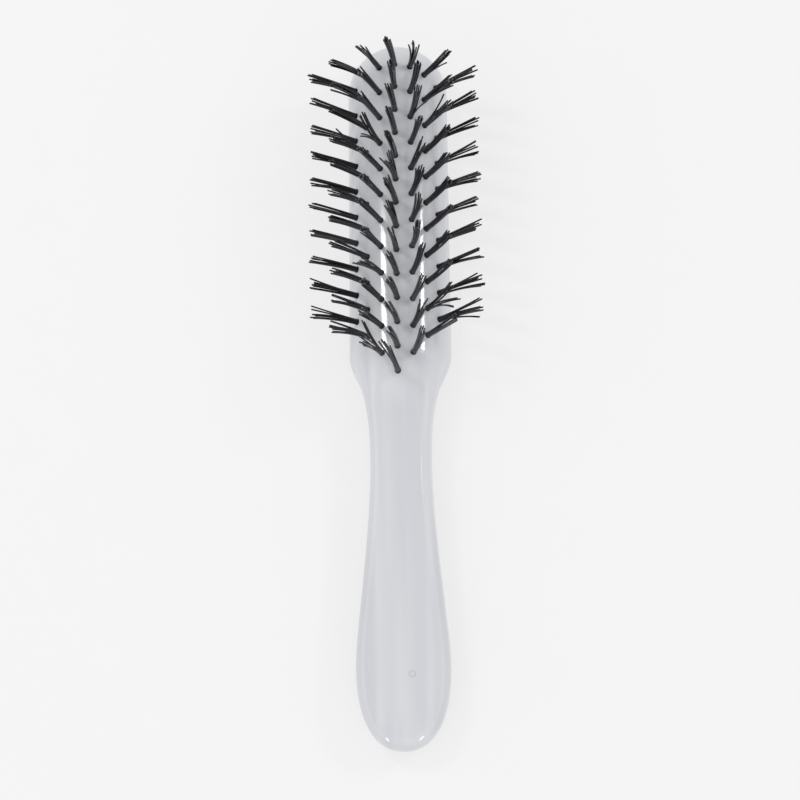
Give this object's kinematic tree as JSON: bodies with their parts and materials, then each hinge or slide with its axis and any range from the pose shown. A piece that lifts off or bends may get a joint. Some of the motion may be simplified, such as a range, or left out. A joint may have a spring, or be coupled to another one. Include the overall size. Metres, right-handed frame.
{
  "type": "fade brush",
  "caption": "Half-round fade brush: a one-piece moulded plastic head and handle with stiff nylon tufts fanned round the head in seven columns.",
  "frame": {"origin": "centre of the brush's outline, on the flat of its back", "axes": "+Y along the brush towards the head's tip, +Z out of the bristled face, +X to the right when the head points away"},
  "size_m": [0.0528, 0.225, 0.0366],
  "materials": {
    "body_plastic": "glossy injection-moulded pale grey-white plastic",
    "tuft_nylon": "extruded black nylon filament, soft sheen",
    "anchor_wire": "drawn flat wire, cut short"
  },
  "bodies": {
    "root": {"brush_body": "body_plastic", "tuft_centre_01": "tuft_nylon", "tuft_centre_02": "tuft_nylon", "tuft_centre_03": "tuft_nylon", "tuft_centre_04": "tuft_nylon", "tuft_centre_05": "tuft_nylon", "tuft_centre_06": "tuft_nylon", "tuft_centre_07": "tuft_nylon", "tuft_centre_08": "tuft_nylon", "tuft_centre_09": "tuft_nylon", "tuft_centre_10": "tuft_nylon", "tuft_centre_11": "tuft_nylon", "tuft_centre_12": "tuft_nylon", "tuft_centre_13": "tuft_nylon", "tuft_centre_14": "tuft_nylon", "tuft_inner_left_01": "tuft_nylon", "tuft_inner_left_02": "tuft_nylon", "tuft_inner_left_03": "tuft_nylon", "tuft_inner_left_04": "tuft_nylon", "tuft_inner_left_05": "tuft_nylon", "tuft_inner_left_06": "tuft_nylon", "tuft_inner_left_07": "tuft_nylon", "tuft_inner_left_08": "tuft_nylon", "tuft_inner_left_09": "tuft_nylon", "tuft_inner_left_10": "tuft_nylon", "tuft_inner_left_11": "tuft_nylon", "tuft_inner_left_12": "tuft_nylon", "tuft_inner_right_01": "tuft_nylon", "tuft_inner_right_02": "tuft_nylon", "tuft_inner_right_03": "tuft_nylon", "tuft_inner_right_04": "tuft_nylon", "tuft_inner_right_05": "tuft_nylon", "tuft_inner_right_06": "tuft_nylon", "tuft_inner_right_07": "tuft_nylon", "tuft_inner_right_08": "tuft_nylon", "tuft_inner_right_09": "tuft_nylon", "tuft_inner_right_10": "tuft_nylon", "tuft_inner_right_11": "tuft_nylon", "tuft_inner_right_12": "tuft_nylon", "tuft_pair_left_01": "tuft_nylon", "tuft_pair_left_02": "tuft_nylon", "tuft_pair_left_03": "tuft_nylon", "tuft_pair_left_04": "tuft_nylon", "tuft_pair_left_05": "tuft_nylon", "tuft_pair_left_06": "tuft_nylon", "tuft_pair_left_07": "tuft_nylon", "tuft_pair_left_08": "tuft_nylon", "tuft_pair_left_09": "tuft_nylon", "tuft_pair_left_10": "tuft_nylon", "tuft_pair_right_01": "tuft_nylon", "tuft_pair_right_02": "tuft_nylon", "tuft_pair_right_03": "tuft_nylon", "tuft_pair_right_04": "tuft_nylon", "tuft_pair_right_05": "tuft_nylon", "tuft_pair_right_06": "tuft_nylon", "tuft_pair_right_07": "tuft_nylon", "tuft_pair_right_08": "tuft_nylon", "tuft_pair_right_09": "tuft_nylon", "tuft_pair_right_10": "tuft_nylon"}
  },
  "joints": []
}
